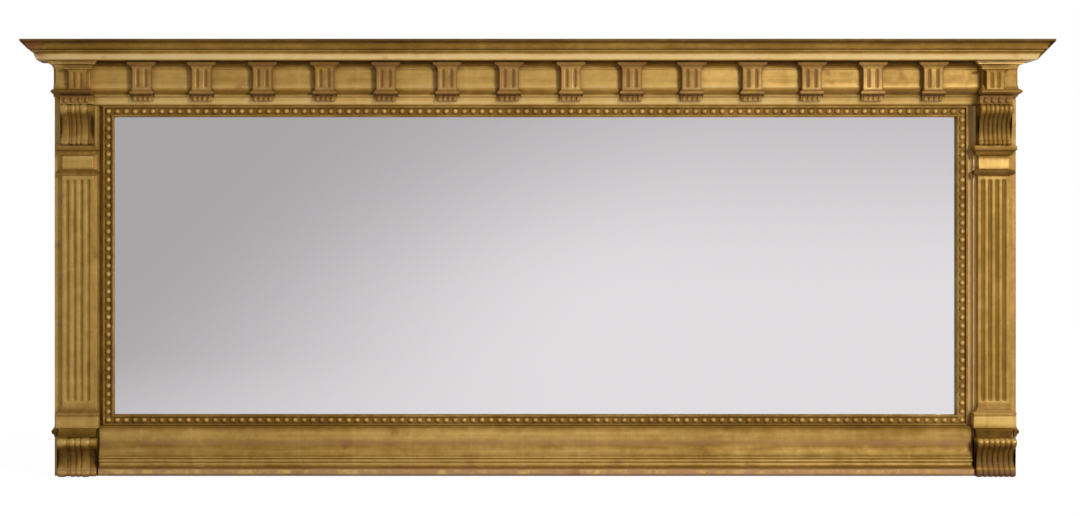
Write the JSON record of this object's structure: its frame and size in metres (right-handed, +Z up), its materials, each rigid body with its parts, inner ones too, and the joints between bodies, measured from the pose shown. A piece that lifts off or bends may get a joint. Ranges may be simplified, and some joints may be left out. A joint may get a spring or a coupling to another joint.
{
  "type": "overmantel mirror",
  "caption": "Long giltwood overmantel mirror with a cornice, a frieze of fluted blocks, fluted pilasters on reeded scroll feet, a beaded slip round the plate and strap hangers with rings.",
  "frame": {"origin": "middle of the box's underside, on the shelf the mirror stands on", "axes": "+X along the length to the viewer's right, -Y out of the front, +Y to the wall, +Z up"},
  "size_m": [1.5, 0.0914, 0.638],
  "materials": {
    "giltwood": "gold leaf over bole and gesso on pine, warm toning in the hollows, worn arrises",
    "pine_frame": "aged unfinished pine, sawn and planed",
    "backboard": "aged unfinished softwood boards",
    "mirror_plate": "silvered glass plate",
    "hanger_steel": "dull mild steel",
    "screws": "plain steel, domed heads"
  },
  "bodies": {
    "mirror": {"back_top_rail": "pine_frame", "back_bottom_rail": "pine_frame", "back_left_stile": "pine_frame", "back_right_stile": "pine_frame", "cornice_front": "giltwood", "cornice_left_return": "giltwood", "cornice_right_return": "giltwood", "cornice_top_board": "pine_frame", "bed_moulding": "giltwood", "frieze_board": "giltwood", "taenia_moulding": "giltwood", "architrave_board": "giltwood", "triglyph_01": "giltwood", "triglyph_02": "giltwood", "triglyph_03": "giltwood", "triglyph_04": "giltwood", "triglyph_05": "giltwood", "triglyph_06": "giltwood", "triglyph_07": "giltwood", "triglyph_08": "giltwood", "triglyph_09": "giltwood", "triglyph_10": "giltwood", "triglyph_11": "giltwood", "triglyph_12": "giltwood", "triglyph_13": "giltwood", "triglyph_14": "giltwood", "left_pier_cap": "giltwood", "right_pier_cap": "giltwood", "left_pier_block": "giltwood", "right_pier_block": "giltwood", "left_pier_triglyph": "giltwood", "right_pier_triglyph": "giltwood", "left_pier_taenia": "giltwood", "right_pier_taenia": "giltwood", "left_upper_console": "giltwood", "right_upper_console": "giltwood", "left_abacus": "giltwood", "right_abacus": "giltwood", "left_neck_block": "giltwood", "right_neck_block": "giltwood", "left_pilaster_shaft": "giltwood", "right_pilaster_shaft": "giltwood", "left_pilaster_base": "giltwood", "right_pilaster_base": "giltwood", "left_scroll_foot": "giltwood", "right_scroll_foot": "giltwood", "slip_top": "giltwood", "slip_bottom": "giltwood", "slip_left": "giltwood", "slip_right": "giltwood", "bottom_rail_moulding": "giltwood", "mirror_plate": "mirror_plate", "glue_blocks": "pine_frame", "backboard_upper": "backboard", "backboard_lower": "backboard", "backboard_screws": "screws", "hanger_straps": "hanger_steel", "hanger_screws": "screws"},
    "left_ring": {"left_hanger_ring": "hanger_steel"},
    "right_ring": {"right_hanger_ring": "hanger_steel"}
  },
  "joints": [
    {"name": "left_ring_swing", "type": "hinge", "parent": "mirror", "child": "left_ring", "pos_m": [-0.668, 0.04225, 0.5035], "axis": [1, 0, 0], "range_deg": [0, 180]},
    {"name": "right_ring_swing", "type": "hinge", "parent": "mirror", "child": "right_ring", "pos_m": [0.668, 0.04225, 0.5035], "axis": [1, 0, 0], "range_deg": [0, 180]}
  ]
}
